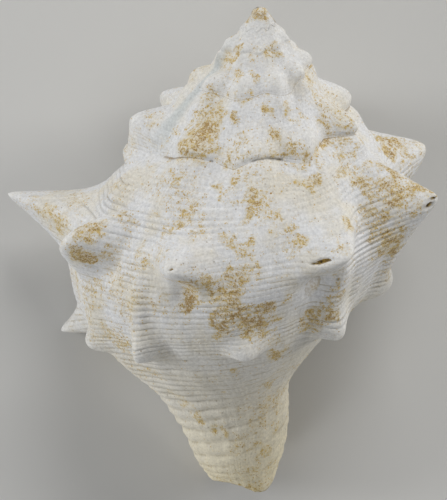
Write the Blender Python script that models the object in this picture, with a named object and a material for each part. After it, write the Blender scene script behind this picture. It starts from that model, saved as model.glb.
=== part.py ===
# Fossil cornulina shell: one body grown along a spiral, lying aperture down on its spines.
# Lengths are millimetres in the shell's own frame, apex at the origin and coiling axis down -Z,
# until the mesh is made.
import bmesh
import bpy
import numpy as np

OBJECT_NAME = "fossil_cornulina_shell"
NODE_NAME = "shell"
METRES_PER_MM = 0.001

# Growth spiral
GROWTH_PER_TURN = 1.80
LAST_SHOULDER_RADIUS = 29.3
LIP_AZIMUTH = 114.0
FIRST_TURN = -5.0
CAVITY_TURNS = 0.70

# Profile of every whorl from its suture to the next one, in shoulder radii
RAMP_PROFILE = [(0.545, -0.80), (0.70, -0.91), (0.845, -1.06), (0.935, -1.235), (0.981, -1.44)]
BURIED_POINT = (0.915, -1.72)

# Profile of the last whorl below the next suture, as (radius, height), at each quarter turn back
# from the lip
LOWER_PROFILES = [
    (0.00, [(28, -50), (25.9, -54.6), (21.8, -59), (16.3, -64.6), (12.8, -69.8), (9.9, -75), (7.8, -77.6)]),
    (-0.25, [(24, -42), (22.2, -46.2), (18.3, -51.8), (12.9, -57.7), (10, -63.8), (8.5, -71), (6.4, -75.7)]),
    (-0.50, [(19.6, -36.7), (17.3, -41.6), (12.8, -46.6), (8, -52.6), (5.1, -58.5), (5, -67), (3.1, -76.3)]),
    (-0.75, [(17.2, -32), (15.3, -36.6), (10.6, -41.8), (6, -47.5), (3.7, -55), (3.4, -65.5), (2.2, -75.5)]),
    (-1.00, [(15, -28.2), (13.2, -32.5), (8.9, -37.3), (4.2, -43), (2.2, -52.5), (1.6, -64.5), (1.5, -75)]),
    (-1.25, [(12.9, -24.6), (11.3, -28.5), (7.5, -33.2), (3.4, -39.5), (1.6, -50), (1.3, -64), (1.2, -74.5)]),
    (-1.50, [(11.1, -21.4), (9.7, -25), (6.4, -29.5), (2.8, -36), (1.3, -48), (1.1, -63.5), (1, -74)]),
    (-1.75, [(9.6, -18.6), (8.3, -22), (5.4, -26.2), (2.3, -33), (1.1, -46), (1, -63), (0.9, -73.5)]),
]

# Places along the profile, counted in profile points from the suture
SHOULDER = 3.0
NEXT_SUTURE = 4.0
LOWER_ROW = 6.0
PROFILE_END = 11.0

# Shoulder spines as (turn, tip radius, tip height, half width in degrees, sharpness, reach above and
# below in places, slant of the crest in places towards the lip)
SHOULDER_SPINES = [
    (-0.025, 39.2, -33.7, 24.0, 1.25, 1.05, 1.5, 0.0),
    (-0.136, 31.3, -31.4, 12.0, 0.00, 1.3, 0.85, 0.6),
    (-0.242, 28.8, -30.5, 15.0, 0.45, 1.3, 0.8, -0.3),
    (-0.389, 27.6, -28.6, 17.0, 0.55, 1.4, 0.95, 0.5),
    (-0.489, 28.4, -24.3, 18.0, 0.75, 1.9, 1.6, 0.0),
    (-0.606, 25.5, -24.2, 17.0, 0.40, 1.15, 1.6, 0.0),
    (-0.710, 24.4, -24.8, 17.0, 0.35, 1.8, 1.5, 0.0),
    (-0.780, 25.8, -23.4, 16.0, 0.35, 1.8, 1.5, 0.0),
    (-0.855, 24.0, -21.6, 16.0, 0.30, 1.8, 1.5, 0.0),
    (-0.928, 23.3, -20.4, 16.0, 0.30, 1.8, 1.5, 0.0),
    (-1.056, 18.9, -18.0, 18.0, 0.30, 1.7, 1.5, 0.0),
    (-1.188, 15.6, -17.5, 18.0, 0.10, 1.3, 2.6, 0.0),
    (-1.298, 14.4, -17.0, 18.0, 0.10, 1.2, 2.6, 0.0),
    (-1.398, 13.6, -16.1, 18.0, 0.10, 1.2, 2.6, 0.0),
    (-1.500, 15.2, -15.8, 18.0, 0.30, 1.6, 2.6, 0.0),
    (-1.609, 13.7, -14.6, 18.0, 0.20, 1.5, 2.6, 0.0),
]
# Nodules of the older whorls, which are alike and worn
NODULE_FIRST_TURN = -1.722
NODULE_SPACING = 0.1065
NODULE_TIP = (1.12, -1.18)
NODULE_FRONT_WEAR = 0.10
NODULE_SHAPE = (18.0, 0.1, 1.5, 2.6, 0.0)

# Lower row of small spines, in the same terms
LOWER_SPINES = [
    (-0.011, 31.8, -56.7, 14.0, 0.50, 0.8, 0.35, 0.0),
    (-0.109, 26.3, -51.0, 9.0, 0.10, 0.8, 0.35, 0.0),
    (-0.200, 26.3, -47.5, 8.0, 0.30, 1.4, 0.22, 0.0),
    (-0.303, 23.2, -45.8, 11.0, 0.45, 0.8, 0.25, 0.0),
    (-0.409, 21.2, -44.1, 13.0, 0.50, 0.95, 0.35, 0.0),
    (-0.525, 20.0, -41.7, 15.0, 0.40, 1.0, 0.6, 0.0),
    (-0.638, 18.2, -39.3, 16.0, 0.30, 1.1, 0.9, 0.0),
    (-0.758, 16.6, -36.6, 16.0, 0.30, 1.1, 0.9, 0.0),
]

# Axial ribs that join a shoulder spine to the lower row, as (turn, height, half width in degrees)
AXIAL_RIBS = [(-0.018, 1.9, 12.0), (-0.123, 0.9, 9.0), (-0.195, 0.8, 5.0), (-0.398, 1.7, 10.0),
              (-0.500, 1.5, 11.0)]

# Hollows under the front shoulder spines, as (turn, place, depth, half width in degrees, reach in places)
HOLLOWS = [(-0.154, 3.4, 0.9, 7.0, 0.5), (-0.244, 3.65, 1.1, 6.0, 0.6), (-0.378, 4.0, 1.7, 10.0, 0.9),
           (-0.365, 5.0, 1.1, 30.0, 1.6)]

# Broken end of the canal: how far its edge stands above the profile at each turn
END_TURNS = [-0.62, -0.50, -0.45, -0.40, -0.35, -0.30, -0.25, -0.20, -0.15, -0.10]
END_SHIFTS = [0.0, 1.6, 1.8, -0.2, -0.95, -0.9, 0.1, 0.6, 0.25, 0.0]

# Smooth band that runs straight down the left of the spire and bridges its sutures, at each depth
# below the apex: the radius and azimuth of its crest, and the widths of its slope to the front and of
# its back, in degrees
BAND_DEPTHS = [2.5, 5.0, 9.0, 12.7, 16.7, 20.0, 23.0, 26.0]
BAND_RADII = [1.0, 4.5, 7.35, 10.5, 14.1, 15.4, 16.8, 19.3]
BAND_CRESTS = [76.0, 76.0, 76.0, 77.0, 78.0, 80.0, 82.0, 76.0]
BAND_SLOPES = [10.0, 9.0, 7.0, 6.0, 7.0, 11.0, 11.0, 10.0]
BAND_BACKS = [12.0, 12.0, 12.0, 10.0, 8.0, 26.0, 34.0, 30.0]
BAND_END = 14.0
# Beside the lip the last whorl climbs the one before it: the azimuths between which it does, its
# height, its depth below the apex and its reach
CLIMB_AZIMUTHS = (84.0, 100.0)
CLIMB_HEIGHT = 2.1
CLIMB_DEPTH = 23.3
CLIMB_REACH = 3.2
# On the last whorl the band goes on as a broad ridge across the ramp
RIDGE_HEIGHT = 1.0
RIDGE_AZIMUTHS = (88.0, 75.0)
RIDGE_WIDTHS = (9.0, 13.0)
RIDGE_PLACE = 1.3
RIDGE_REACH = 1.5

# The sutures wave: how far each one rises along the wall of the whorl above it
SUTURE_TURNS = [
    -3.42, -3.38, -3.34, -3.30, -3.26, -3.22, -3.17,
    -2.48, -2.45, -2.435, -2.42, -2.40, -2.375, -2.35, -2.325, -2.30, -2.275, -2.25, -2.225, -2.20, -2.175,
    -2.13,
    -1.53, -1.50, -1.47, -1.45, -1.43, -1.41, -1.39, -1.37, -1.35, -1.33, -1.31, -1.29, -1.27, -1.25, -1.23,
    -1.21, -1.19, -1.15, -1.12, -1.09, -1.06,
]
SUTURE_RISES = [
    0.0, -0.2, 0.2, -0.3, 0.1, 0.3, 0.0,
    0.0, 0.2, -0.3, -1.1, -1.2, -1.0, -0.5, 0.0, -0.3, -0.7, -0.9, -0.6, -0.2, 0.0, 0.0,
    0.0, 0.3, 0.6, 0.7, 0.4, 0.0, -0.9, -0.4, 0.3, 1.0, 1.3, 0.8, 0.1, 0.6, 1.2,
    1.5, 1.4, 0.9, 0.6, 0.3, 0.0,
]

# The whorls of the spire are worn to a plain cone
CONE_PROFILE = [(0.545, -0.80), (0.665, -0.945), (0.79, -1.105), (0.91, -1.28), (0.981, -1.44)]
CONE_TURNS = (-1.35, -1.02)
CONE_SHARE = 1.0
APEX_LIFT = 1.1
APEX_LIFT_RADIUS = 10.0

# Wall and lip
WALL_THICKNESS = 1.7
CANAL_THICKNESS = 1.1
CORD_HEIGHT = 0.35

# Mesh steps
COLUMNS_PER_TURN = 60
CAVITY_COLUMNS = 17
UPPER_PLACES = [0.0, 0.7, 1.4, 2.1, 2.6, 3.0, 3.5, 4.0]
ROWS_BELOW_SUTURE = 28
CORNER_ROWS = 2
INNER_PLACES = [0.6, 1.2, 1.8, 2.4, 3.0, 3.5, 4.0, 4.6, 5.2, 5.8, 6.4, 7.0, 7.6, 8.2, 8.8, 9.4, 10.2, 11.0]

# Pose: the coiling axis rises towards the apex, seen from straight above with the apex away
AXIS_RISE = 22.1
SIDE_LEAN = 0.6


def clear_objects():
    for scene_object in list(bpy.data.objects):
        bpy.data.objects.remove(scene_object, do_unlink=True)


def shoulder_radius(turn):
    return LAST_SHOULDER_RADIUS * GROWTH_PER_TURN ** turn


def blend_along(values, places):
    """Catmull-Rom curve through evenly spaced values, read at places counted in values."""
    last = len(values) - 1
    padded = np.concatenate([2 * values[:1] - values[1:2], values, 2 * values[-1:] - values[-2:-1]])
    places = np.clip(np.atleast_1d(places), 0.0, last - 1e-9)
    low = places.astype(int)
    part = (places - low).reshape((-1,) + (1,) * (values.ndim - 1))
    before = padded[low]
    here = padded[low + 1]
    there = padded[low + 2]
    after = padded[low + 3]
    slope = there - before
    bend = 2 * before - 5 * here + 4 * there - after
    twist = 3 * here - before - 3 * there + after
    return 0.5 * (2 * here + slope * part + bend * part ** 2 + twist * part ** 3)


def profile_knots(turn):
    """Radius and height of the profile points at a turn; whorls of the spire end at the next suture."""
    radius = shoulder_radius(turn)
    worn = CONE_SHARE * np.interp(turn, CONE_TURNS, [1.0, 0.0])
    ramp = (np.array(RAMP_PROFILE) * (1.0 - worn) + np.array(CONE_PROFILE) * worn) * radius
    ramp[:, 1] += APEX_LIFT * max(0.0, 1.0 - radius / APEX_LIFT_RADIUS)
    rise = np.interp(turn, SUTURE_TURNS, SUTURE_RISES)
    ramp[4] += rise * (ramp[3] - ramp[4]) / np.linalg.norm(ramp[3] - ramp[4])
    first = LOWER_PROFILES[-1][0]
    if turn < first - 1e-6:
        return np.concatenate([ramp, np.array([BURIED_POINT]) * radius])
    profiles = np.array([points for _, points in reversed(LOWER_PROFILES)], dtype=float)
    knots = np.concatenate([ramp, blend_along(profiles, (turn - first) / 0.25)[0]])
    knots[-1, 1] += np.interp(turn, END_TURNS, END_SHIFTS)
    return knots


def in_space(turn, pairs):
    """Radial and axial pairs turned into vectors."""
    azimuth = np.radians(LIP_AZIMUTH + 360.0 * turn)
    outwards = np.array([-np.sin(azimuth), -np.cos(azimuth), 0.0])
    return pairs[:, :1] * outwards + pairs[:, 1:] * np.array([0.0, 0.0, 1.0])


def plain_column(turn, places):
    """Points of the smooth whorl, without spines or ribs."""
    return in_space(turn, blend_along(profile_knots(turn), places))


def normal_column(turn, places):
    """Outward normals of the smooth whorl in its axial plane."""
    knots = profile_knots(turn)
    end = len(knots) - 1.0
    after = blend_along(knots, np.minimum(places + 0.1, end))
    step = after - blend_along(knots, np.maximum(places - 0.1, 0.0))
    across = np.stack([-step[:, 1], step[:, 0]], axis=1)
    return in_space(turn, across / np.linalg.norm(across, axis=1, keepdims=True))


def hump(distance):
    """Smooth hump of height 1 that ends at a distance of 1."""
    return np.maximum(1.0 - distance * distance, 0.0) ** 2


def spine_shape(distance, sharpness):
    """Height of a spine from 1 at its tip to 0 at a distance of 1, rounded or concave."""
    softened = np.sqrt(distance ** 2 + 0.0144) - 0.12
    return np.maximum(1.0 - softened, 0.0) ** 2 * (1.0 + 2.0 * (1.0 - sharpness) * softened)


def spine_column(turn, places, spines, row):
    """Push of a row of spines on one column."""
    push = np.zeros((len(places), 3))
    for spine_turn, tip_radius, tip_height, half_width, sharpness, above, below, slant in spines:
        sideways = (turn - spine_turn) * 360.0 / half_width
        if abs(sideways) > 1.05:
            continue
        offset = places - row - slant * sideways
        distance = np.sqrt(sideways ** 2 + (offset / np.where(offset < 0.0, above, below)) ** 2)
        tip = in_space(spine_turn, np.array([[tip_radius, tip_height]]))
        base = plain_column(spine_turn, np.array([row]))
        push += spine_shape(distance, sharpness)[:, None] * (tip - base)
    return push


def all_shoulder_spines():
    spines = list(SHOULDER_SPINES)
    turn = NODULE_FIRST_TURN
    while turn > FIRST_TURN:
        radius = shoulder_radius(turn)
        front = np.cos(np.radians(LIP_AZIMUTH + 360.0 * turn)) ** 2
        reach = NODULE_TIP[0] - NODULE_FRONT_WEAR * front
        spines.append((turn, reach * radius, NODULE_TIP[1] * radius) + NODULE_SHAPE)
        turn -= NODULE_SPACING
    return spines


def rib_column(turn, places):
    """Height of the axial ribs between the two rows of spines, less the hollows under the upper row."""
    height = np.zeros(len(places))
    for rib_turn, rib, half_width in AXIAL_RIBS:
        height += rib * hump((places - 4.7) / 2.4) * hump((turn - rib_turn) * 360.0 / half_width)
    for hollow_turn, place, depth, half_width, reach in HOLLOWS:
        height -= depth * hump((places - place) / reach) * hump((turn - hollow_turn) * 360.0 / half_width)
    return height


def azimuth_of(turn):
    """Degrees from the front towards the left, from -180 to 180."""
    return (LIP_AZIMUTH + 360.0 * turn + 180.0) % 360.0 - 180.0


def band_share(azimuth, depth):
    """1 on the band and 0 away from it."""
    sideways = azimuth - np.interp(depth, BAND_DEPTHS, BAND_CRESTS)
    rising = 1.0 + sideways / np.interp(depth, BAND_DEPTHS, BAND_SLOPES)
    falling = 1.0 - (sideways - np.interp(depth, BAND_DEPTHS, BAND_BACKS)) / BAND_END
    falling = np.clip(falling, 0.0, 1.0)
    return np.minimum(np.clip(rising, 0.0, 1.0), falling * falling * (3.0 - 2.0 * falling))


def band_column(turn, places):
    """Outward push of the band on one column, and the ridge that it becomes on the last whorl."""
    pairs = blend_along(profile_knots(turn), places)
    azimuth = azimuth_of(turn)
    depths = -pairs[:, 1]
    climb = CLIMB_HEIGHT * hump((depths - CLIMB_DEPTH) / CLIMB_REACH)
    climb *= np.interp(azimuth, CLIMB_AZIMUTHS, [0.0, 1.0])
    reach = np.interp(depths, BAND_DEPTHS, BAND_RADII) + climb - pairs[:, 0]
    push = np.maximum(reach, 0.0) * band_share(azimuth, depths)
    if turn > -1.0 - 1e-6:
        sideways = azimuth - np.interp(places, [0.3, 1.3], RIDGE_AZIMUTHS)
        ridge = RIDGE_HEIGHT * hump(sideways / np.where(sideways < 0.0, RIDGE_WIDTHS[0], RIDGE_WIDTHS[1]))
        push = np.where(places < SHOULDER, push, 0.0) + ridge * hump((places - RIDGE_PLACE) / RIDGE_REACH)
    return push[:, None] * in_space(turn, np.array([[1.0, 0.0]]))


def cord_column(places):
    """Every second row under the next suture stands up as a spiral cord."""
    number = np.round((places - NEXT_SUTURE) * ROWS_BELOW_SUTURE / (PROFILE_END - NEXT_SUTURE))
    return CORD_HEIGHT * np.where((number > 0) & (number % 2 == 1), 1.0, 0.0)


def relief_column(turn, places, spines):
    """Points of the finished outside on one column; a suture follows the nodules of the whorl above it."""
    height = rib_column(turn, places) + cord_column(places)
    points = plain_column(turn, places) + height[:, None] * normal_column(turn, places)
    points += spine_column(turn, places, spines, SHOULDER) + band_column(turn, places)
    if turn > -1.0:
        points += spine_column(turn, places, LOWER_SPINES, LOWER_ROW)
    if turn - 1.0 > FIRST_TURN - 1e-6:
        suture = np.array([NEXT_SUTURE])
        pushed = plain_column(turn - 1.0, suture) + spine_column(turn - 1.0, suture, spines, SHOULDER)
        shift = pushed - plain_column(turn, np.array([0.0]))
        points += hump(places / 1.8)[:, None] * shift
    return points


def column_turns():
    """Turns of the columns of the last whorl, with a column at each shoulder spine."""
    index = [0]
    turn = [-1.0]
    for spine in sorted(SHOULDER_SPINES):
        if spine[0] > -1.0:
            index.append(int(round((spine[0] + 1.0) * COLUMNS_PER_TURN)))
            turn.append(spine[0])
    index.append(COLUMNS_PER_TURN)
    turn.append(0.0)
    return np.interp(np.arange(COLUMNS_PER_TURN + 1), index, turn)


def row_places():
    lower = np.linspace(NEXT_SUTURE, PROFILE_END, ROWS_BELOW_SUTURE + 1)
    return np.concatenate([UPPER_PLACES, lower[1:]])


class Surface:
    """Vertices in millimetres and the faces between them."""

    def __init__(self):
        self.points = []
        self.faces = []

    def add(self, point):
        self.points.append(np.array(point, dtype=float))
        return len(self.points) - 1

    def add_all(self, points):
        return [self.add(point) for point in points]

    def face(self, corners):
        ring = [corner for number, corner in enumerate(corners) if corner != corners[number - 1]]
        if len(ring) > 2:
            self.faces.append(ring)

    def grid(self, columns):
        """Quads between neighbouring columns of vertex numbers."""
        for left, right in zip(columns[:-1], columns[1:]):
            for low in range(len(left) - 1):
                self.face([left[low], left[low + 1], right[low + 1], right[low]])

    def gap(self, first, second):
        return np.linalg.norm(self.points[first] - self.points[second])

    def join(self, first, second):
        """Strip of triangles between two chains of vertices, by the shorter step each time."""
        here = 0
        there = 0
        while here < len(first) - 1 or there < len(second) - 1:
            ahead = here < len(first) - 1
            if ahead and there < len(second) - 1:
                ahead = self.gap(first[here + 1], second[there]) <= self.gap(first[here], second[there + 1])
            if ahead:
                self.face([first[here], first[here + 1], second[there]])
                here += 1
            else:
                self.face([first[here], second[there + 1], second[there]])
                there += 1


def add_outside(surface, spines):
    """Spire and last whorl; each whorl starts on the lower edge of the one before."""
    places = row_places()
    upper_rows = len(UPPER_PLACES)
    turns = column_turns()
    spire = []
    for whorl in range(int(FIRST_TURN) + 1, 0):
        for turn in turns[:-1]:
            points = relief_column(turn + whorl, places[:upper_rows], spines)
            if len(spire) < COLUMNS_PER_TURN:
                spire.append(surface.add_all(points))
            else:
                edge = spire[len(spire) - COLUMNS_PER_TURN][-1]
                spire.append([edge] + surface.add_all(points[1:]))
    last = []
    for number, turn in enumerate(turns):
        points = relief_column(turn, places, spines)
        if number < COLUMNS_PER_TURN:
            edge = spire[number - COLUMNS_PER_TURN][-1]
        else:
            edge = last[0][upper_rows - 1]
        last.append([edge] + surface.add_all(points[1:]))
    surface.grid(spire + [last[0][:upper_rows]])
    surface.grid(last)
    return spire, last


def add_apex(surface, spire):
    """Tip over the upper edge of the first whorl and the step where it starts."""
    rim = [column[0] for column in spire[:COLUMNS_PER_TURN]]
    rim += spire[0][:0:-1]
    tip = surface.add([0.0, 0.0, 0.0])
    for number, corner in enumerate(rim):
        surface.face([rim[number - 1], corner, tip])


def inner_column(turn):
    """Points of the inside of the outer wall, which takes at most half the room beside the older whorl."""
    places = np.array(INNER_PLACES)
    outside = plain_column(turn, places)
    thickness = WALL_THICKNESS + (CANAL_THICKNESS - WALL_THICKNESS) * places / PROFILE_END
    room = np.linalg.norm(outside - plain_column(turn - 1.0, places), axis=1)
    thickness = np.minimum(thickness, 0.5 * room)
    return outside - thickness[:, None] * normal_column(turn, places)


def add_cavity(surface, last):
    """Hollow behind the lip, between the older whorl and the outer wall, closed at its depth."""
    turns = column_turns()
    start = int(round((1.0 - CAVITY_TURNS) * COLUMNS_PER_TURN))
    corner = len(UPPER_PLACES) - 1 + CORNER_ROWS
    places = row_places()[corner:]
    older_wall = []
    outer_wall = []
    for turn in np.linspace(turns[start], 0.0, CAVITY_COLUMNS + 1):
        if turn < 0.0:
            older_wall.append(surface.add_all(plain_column(turn - 1.0, places)))
        else:
            older_wall.append(last[0][corner:])
        outer_wall.append([older_wall[-1][0]] + surface.add_all(inner_column(turn)))
    surface.grid(older_wall)
    surface.grid(outer_wall)
    surface.join(outer_wall[0], older_wall[0])
    lip_inside = last[0][len(UPPER_PLACES) - 1:corner] + outer_wall[-1]
    surface.join(last[-1], lip_inside)
    surface.join([column[-1] for column in last[start:]], [column[-1] for column in outer_wall])
    rim = [column[-1] for column in last[:start + 1]]
    rim.append(outer_wall[0][-1])
    rim += [column[-1] for column in older_wall[:-1]]
    centre = surface.add(np.mean([surface.points[corner] for corner in rim], axis=0))
    for number, vertex in enumerate(rim):
        surface.face([rim[number - 1], vertex, centre])


def rest_matrix():
    """Turns the shell's frame so that its back is up, its apex points along +Y and it leans on its spines."""
    rise = np.radians(AXIS_RISE)
    lean = np.radians(SIDE_LEAN)
    right = np.array([1.0, 0.0, 0.0])
    away = np.array([0.0, np.sin(rise), np.cos(rise)])
    up = np.array([0.0, -np.cos(rise), np.sin(rise)])
    right, up = right * np.cos(lean) + up * np.sin(lean), up * np.cos(lean) - right * np.sin(lean)
    return np.array([right, away, up])


def laid_down(points):
    """Points in metres, resting on the ground with the middle of their footprint at the origin."""
    turned = np.array(points) @ rest_matrix().T * METRES_PER_MM
    low = turned.min(axis=0)
    high = turned.max(axis=0)
    return turned - np.array([(low[0] + high[0]) / 2, (low[1] + high[1]) / 2, low[2]])


def shell_material():
    material = bpy.data.materials.new("chalky_shell")
    material.use_nodes = True
    surface = material.node_tree.nodes["Principled BSDF"]
    surface.inputs["Base Color"].default_value = (0.80, 0.77, 0.69, 1.0)
    surface.inputs["Roughness"].default_value = 0.85
    return material


def build_shell():
    surface = Surface()
    spire, last = add_outside(surface, all_shoulder_spines())
    add_apex(surface, spire)
    add_cavity(surface, last)
    mesh = bpy.data.meshes.new(NODE_NAME)
    mesh.from_pydata([tuple(point) for point in laid_down(surface.points)], [], surface.faces)
    solid = bmesh.new()
    solid.from_mesh(mesh)
    bmesh.ops.triangulate(solid, faces=solid.faces[:])
    bmesh.ops.recalc_face_normals(solid, faces=solid.faces[:])
    solid.to_mesh(mesh)
    solid.free()
    mesh.materials.append(shell_material())
    shell = bpy.data.objects.new(NODE_NAME, mesh)
    collection = bpy.data.collections.new(OBJECT_NAME)
    bpy.context.scene.collection.children.link(collection)
    collection.objects.link(shell)


clear_objects()
build_shell()
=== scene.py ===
import bmesh
import bpy
import numpy as np
from mathutils import Matrix, Vector, noise
from mathutils.bvhtree import BVHTree


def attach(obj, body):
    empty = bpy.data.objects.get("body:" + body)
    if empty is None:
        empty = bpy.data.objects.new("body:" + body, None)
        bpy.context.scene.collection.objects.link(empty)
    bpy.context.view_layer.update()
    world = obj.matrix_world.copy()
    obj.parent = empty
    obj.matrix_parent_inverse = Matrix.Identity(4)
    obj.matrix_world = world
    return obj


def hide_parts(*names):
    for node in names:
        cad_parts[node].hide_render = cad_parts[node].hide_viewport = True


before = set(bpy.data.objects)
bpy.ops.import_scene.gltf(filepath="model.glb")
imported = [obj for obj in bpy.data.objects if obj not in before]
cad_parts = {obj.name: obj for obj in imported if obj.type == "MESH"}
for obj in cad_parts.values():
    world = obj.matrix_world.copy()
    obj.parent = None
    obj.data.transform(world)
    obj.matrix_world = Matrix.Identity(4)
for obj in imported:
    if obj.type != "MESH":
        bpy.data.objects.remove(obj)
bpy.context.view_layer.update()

METRES_PER_MM = 0.001

# Growth spiral
GROWTH_PER_TURN = 1.8
LAST_SHOULDER_RADIUS = 29.3
LIP_AZIMUTH = 114
FIRST_TURN = -5
CAVITY_TURNS = 0.7

# Profile of every whorl from its suture to the next one, in shoulder radii
RAMP_PROFILE = [(0.545, -0.8), (0.7, -0.91), (0.845, -1.06), (0.935, -1.235), (0.981, -1.44)]
BURIED_POINT = (0.915, -1.72)

# Profile of the last whorl below the next suture, as (radius, height), at each quarter turn back
# from the lip
LOWER_PROFILES = [
    (0, [(28, -50), (25.9, -54.6), (21.8, -59), (16.3, -64.6), (12.8, -69.8), (9.9, -75), (7.8, -77.6)]),
    (-0.25, [(24, -42), (22.2, -46.2), (18.3, -51.8), (12.9, -57.7), (10, -63.8), (8.5, -71), (6.4, -75.7)]),
    (-0.5, [(19.6, -36.7), (17.3, -41.6), (12.8, -46.6), (8, -52.6), (5.1, -58.5), (5, -67), (3.1, -76.3)]),
    (-0.75, [(17.2, -32), (15.3, -36.6), (10.6, -41.8), (6, -47.5), (3.7, -55), (3.4, -65.5), (2.2, -75.5)]),
    (-1, [(15, -28.2), (13.2, -32.5), (8.9, -37.3), (4.2, -43), (2.2, -52.5), (1.6, -64.5), (1.5, -75)]),
    (-1.25, [(12.9, -24.6), (11.3, -28.5), (7.5, -33.2), (3.4, -39.5), (1.6, -50), (1.3, -64), (1.2, -74.5)]),
    (-1.5, [(11.1, -21.4), (9.7, -25), (6.4, -29.5), (2.8, -36), (1.3, -48), (1.1, -63.5), (1, -74)]),
    (-1.75, [(9.6, -18.6), (8.3, -22), (5.4, -26.2), (2.3, -33), (1.1, -46), (1, -63), (0.9, -73.5)]),
]

# Places along the profile, counted in profile points from the suture
SHOULDER = 3
NEXT_SUTURE = 4
LOWER_ROW = 6
PROFILE_END = 11

# Shoulder spines as (turn, tip radius, tip height, half width in degrees, sharpness, reach above and
# below in places, slant of the crest in places towards the lip)
SHOULDER_SPINES = [
    (-0.025, 39.2, -33.7, 24, 1.25, 1.05, 1.5, 0),
    (-0.136, 31.3, -31.4, 12, 0, 1.3, 0.85, 0.6),
    (-0.242, 28.8, -30.5, 15, 0.45, 1.3, 0.8, -0.3),
    (-0.389, 27.6, -28.6, 17, 0.55, 1.4, 0.95, 0.5),
    (-0.489, 28.4, -24.3, 18, 0.75, 1.9, 1.6, 0),
    (-0.606, 25.5, -24.2, 17, 0.4, 1.15, 1.6, 0),
    (-0.71, 24.4, -24.8, 17, 0.35, 1.8, 1.5, 0),
    (-0.78, 25.8, -23.4, 16, 0.35, 1.8, 1.5, 0),
    (-0.855, 24, -21.6, 16, 0.3, 1.8, 1.5, 0),
    (-0.928, 23.3, -20.4, 16, 0.3, 1.8, 1.5, 0),
    (-1.056, 18.9, -18, 18, 0.3, 1.7, 1.5, 0),
    (-1.188, 15.6, -17.5, 18, 0.1, 1.3, 2.6, 0),
    (-1.298, 14.4, -17, 18, 0.1, 1.2, 2.6, 0),
    (-1.398, 13.6, -16.1, 18, 0.1, 1.2, 2.6, 0),
    (-1.5, 15.2, -15.8, 18, 0.3, 1.6, 2.6, 0),
    (-1.609, 13.7, -14.6, 18, 0.2, 1.5, 2.6, 0),
]
TIP_ROUNDING = 0.12
# Nodules of the older whorls, which are alike and worn
NODULE_FIRST_TURN = -1.722
NODULE_SPACING = 0.1065
NODULE_TIP = (1.12, -1.18)
NODULE_FRONT_WEAR = 0.1
NODULE_SHAPE = (18, 0.1, 1.5, 2.6, 0)

# Lower row of small spines, in the same terms
LOWER_SPINES = [
    (-0.011, 31.8, -56.7, 14, 0.5, 0.8, 0.35, 0),
    (-0.109, 26.3, -51, 9, 0.1, 0.8, 0.35, 0),
    (-0.2, 26.3, -47.5, 8, 0.3, 1.4, 0.22, 0),
    (-0.303, 23.2, -45.8, 11, 0.45, 0.8, 0.25, 0),
    (-0.409, 21.2, -44.1, 13, 0.5, 0.95, 0.35, 0),
    (-0.525, 20, -41.7, 15, 0.4, 1, 0.6, 0),
    (-0.638, 18.2, -39.3, 16, 0.3, 1.1, 0.9, 0),
    (-0.758, 16.6, -36.6, 16, 0.3, 1.1, 0.9, 0),
]

# Axial ribs that join a shoulder spine to the lower row, as (turn, height, half width in degrees)
RIB_MIDDLE = 4.7
RIB_REACH = 2.4
AXIAL_RIBS = [(-0.018, 1.9, 12), (-0.123, 0.9, 9), (-0.195, 0.8, 5), (-0.398, 1.7, 10),
              (-0.5, 1.5, 11)]

# Hollows under the front shoulder spines, as (turn, place, depth, half width in degrees, reach in places)
HOLLOWS = [(-0.154, 3.4, 0.9, 7, 0.5), (-0.244, 3.65, 1.1, 6, 0.6), (-0.378, 4, 1.7, 10, 0.9),
           (-0.365, 5, 1.1, 30, 1.6)]

# Broken end of the canal: how far its edge stands above the profile at each turn
END_TURNS = [-0.62, -0.5, -0.45, -0.4, -0.35, -0.3, -0.25, -0.2, -0.15, -0.1]
END_SHIFTS = [0, 1.6, 1.8, -0.2, -0.95, -0.9, 0.1, 0.6, 0.25, 0]

# Smooth band that runs straight down the left of the spire and bridges its sutures, at each depth
# below the apex: the radius and azimuth of its crest, and the widths of its slope to the front and of
# its back, in degrees
BAND_DEPTHS = [2.5, 5, 9, 12.7, 16.7, 20, 23, 26]
BAND_RADII = [1, 4.5, 7.35, 10.5, 14.1, 15.4, 16.8, 19.3]
BAND_CRESTS = [76, 76, 76, 77, 78, 80, 82, 76]
BAND_SLOPES = [10, 9, 7, 6, 7, 11, 11, 10]
BAND_BACKS = [12, 12, 12, 10, 8, 26, 34, 30]
BAND_END = 14
# Where its front slope gets a painted grey shade, and how strongly
SLOPE_SHADE_DEPTHS = [3, 6, 17, 22]
SLOPE_SHADE_SHARES = [0, 1, 1, 0]
# Beside the lip the last whorl climbs the one before it: the azimuths between which it does, its
# height, its depth below the apex and its reach
CLIMB_AZIMUTHS = (84, 100)
CLIMB_HEIGHT = 2.1
CLIMB_DEPTH = 23.3
CLIMB_REACH = 3.2
# On the last whorl the band goes on as a broad ridge across the ramp
RIDGE_HEIGHT = 1
RIDGE_AZIMUTHS = (88, 75)
RIDGE_WIDTHS = (9, 13)
RIDGE_TURNING = (0.3, 1.3)
RIDGE_PLACE = 1.3
RIDGE_REACH = 1.5

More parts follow.
